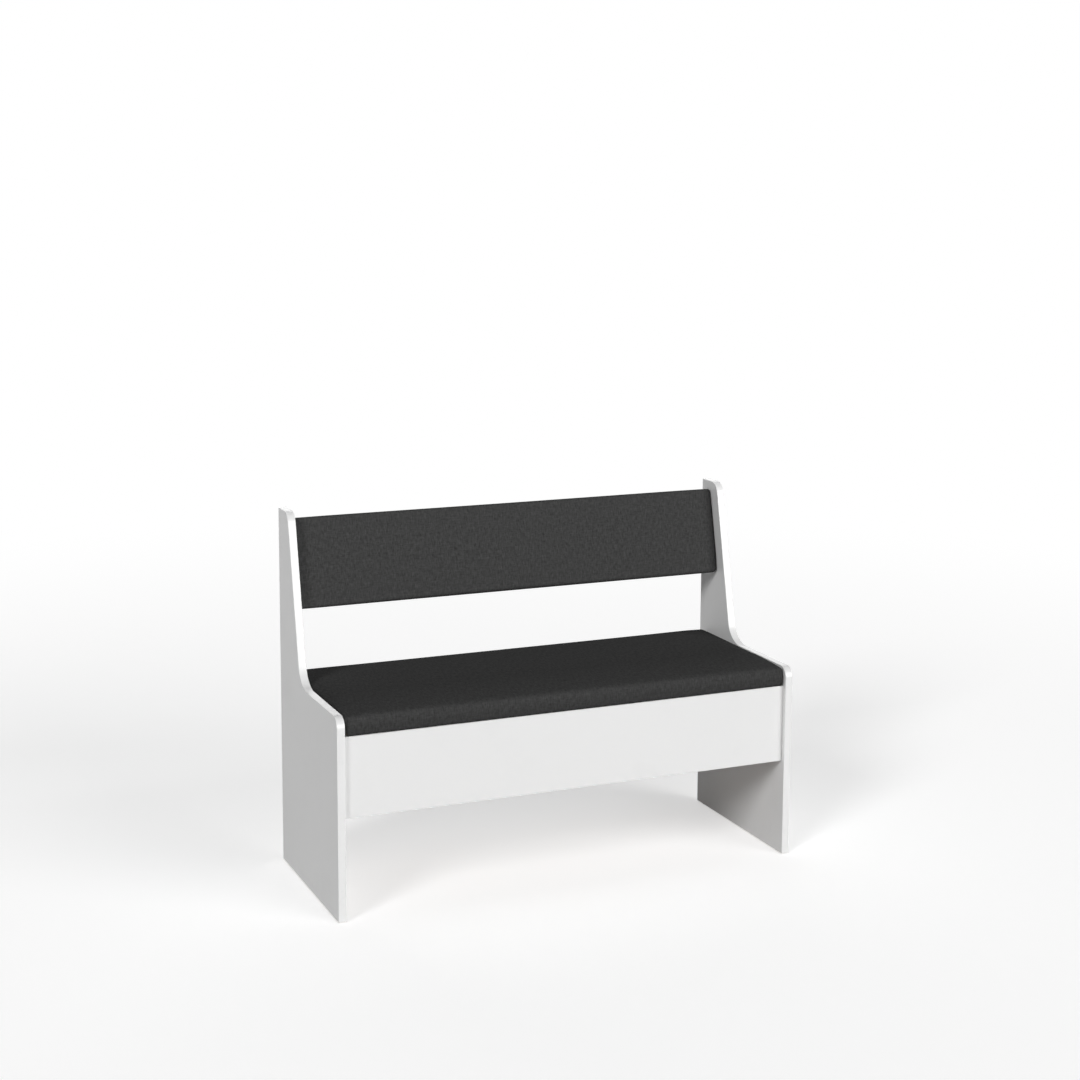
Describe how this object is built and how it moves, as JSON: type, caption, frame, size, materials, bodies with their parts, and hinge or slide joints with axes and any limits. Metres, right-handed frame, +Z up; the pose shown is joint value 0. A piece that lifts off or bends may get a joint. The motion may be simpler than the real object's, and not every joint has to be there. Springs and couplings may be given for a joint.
{
  "type": "storage bench",
  "caption": "White board-sided storage bench with a hinged upholstered seat lid over a chest and a leaning upholstered backrest.",
  "frame": {"origin": "on the floor under the middle of the bench", "axes": "+X along the bench towards its right side as a sitter in front sees it, -Y out of the front, +Z up"},
  "size_m": [1.1, 0.42, 0.827],
  "materials": {
    "white_melamine": "satin",
    "white_edging": "satin",
    "white_hardboard": "satin",
    "raw_chipboard": "matte",
    "beech_dowel": "matte",
    "foam": "matte",
    "charcoal_fabric": "matte",
    "black_lining": "matte",
    "zinc_fitting": "satin",
    "glide_plastic": "satin"
  },
  "bodies": {
    "frame": {"side_panel_left": "white_melamine", "side_panel_right": "white_melamine", "edge_band_left": "white_edging", "edge_band_right": "white_edging", "front_panel": "white_melamine", "rear_panel": "white_melamine", "chest_floor": "white_hardboard", "glide_front_left": "glide_plastic", "glide_front_right": "glide_plastic", "glide_rear_left": "glide_plastic", "glide_rear_right": "glide_plastic", "cam_lock_front_left": "zinc_fitting", "cam_bolt_front_left": "zinc_fitting", "dowel_front_left_upper": "beech_dowel", "dowel_front_left_lower": "beech_dowel", "cam_lock_front_right": "zinc_fitting", "cam_bolt_front_right": "zinc_fitting", "dowel_front_right_upper": "beech_dowel", "dowel_front_right_lower": "beech_dowel", "cam_lock_rear_left": "zinc_fitting", "cam_bolt_rear_left": "zinc_fitting", "dowel_rear_left_upper": "beech_dowel", "dowel_rear_left_lower": "beech_dowel", "cam_lock_rear_right": "zinc_fitting", "cam_bolt_rear_right": "zinc_fitting", "dowel_rear_right_upper": "beech_dowel", "dowel_rear_right_lower": "beech_dowel", "backrest_board": "raw_chipboard", "backrest_foam": "foam", "backrest_cover": "charcoal_fabric", "backrest_lining": "black_lining", "backrest_bracket_left": "zinc_fitting", "bracket_board_screw_left_upper": "zinc_fitting", "bracket_panel_screw_left_upper": "zinc_fitting", "bracket_board_screw_left_lower": "zinc_fitting", "bracket_panel_screw_left_lower": "zinc_fitting", "backrest_bracket_right": "zinc_fitting", "bracket_board_screw_right_upper": "zinc_fitting", "bracket_panel_screw_right_upper": "zinc_fitting", "bracket_board_screw_right_lower": "zinc_fitting", "bracket_panel_screw_right_lower": "zinc_fitting", "hinge_frame_leaf_left": "zinc_fitting", "hinge_pin_left": "zinc_fitting", "hinge_frame_screw_left_inner": "zinc_fitting", "hinge_frame_screw_left_outer": "zinc_fitting", "hinge_frame_leaf_right": "zinc_fitting", "hinge_pin_right": "zinc_fitting", "hinge_frame_screw_right_inner": "zinc_fitting", "hinge_frame_screw_right_outer": "zinc_fitting"},
    "seat_lid": {"seat_board": "raw_chipboard", "seat_foam": "foam", "seat_cover": "charcoal_fabric", "seat_lining": "black_lining", "hinge_lid_leaf_left": "zinc_fitting", "hinge_lid_screw_left_inner": "zinc_fitting", "hinge_lid_screw_left_outer": "zinc_fitting", "hinge_lid_leaf_right": "zinc_fitting", "hinge_lid_screw_right_inner": "zinc_fitting", "hinge_lid_screw_right_outer": "zinc_fitting"}
  },
  "joints": [
    {"name": "lid_hinge", "type": "hinge", "parent": "frame", "child": "seat_lid", "pos_m": [0, 0.1435, 0.4016], "axis": [-1, 0, 0], "range_deg": [0, 67]}
  ]
}
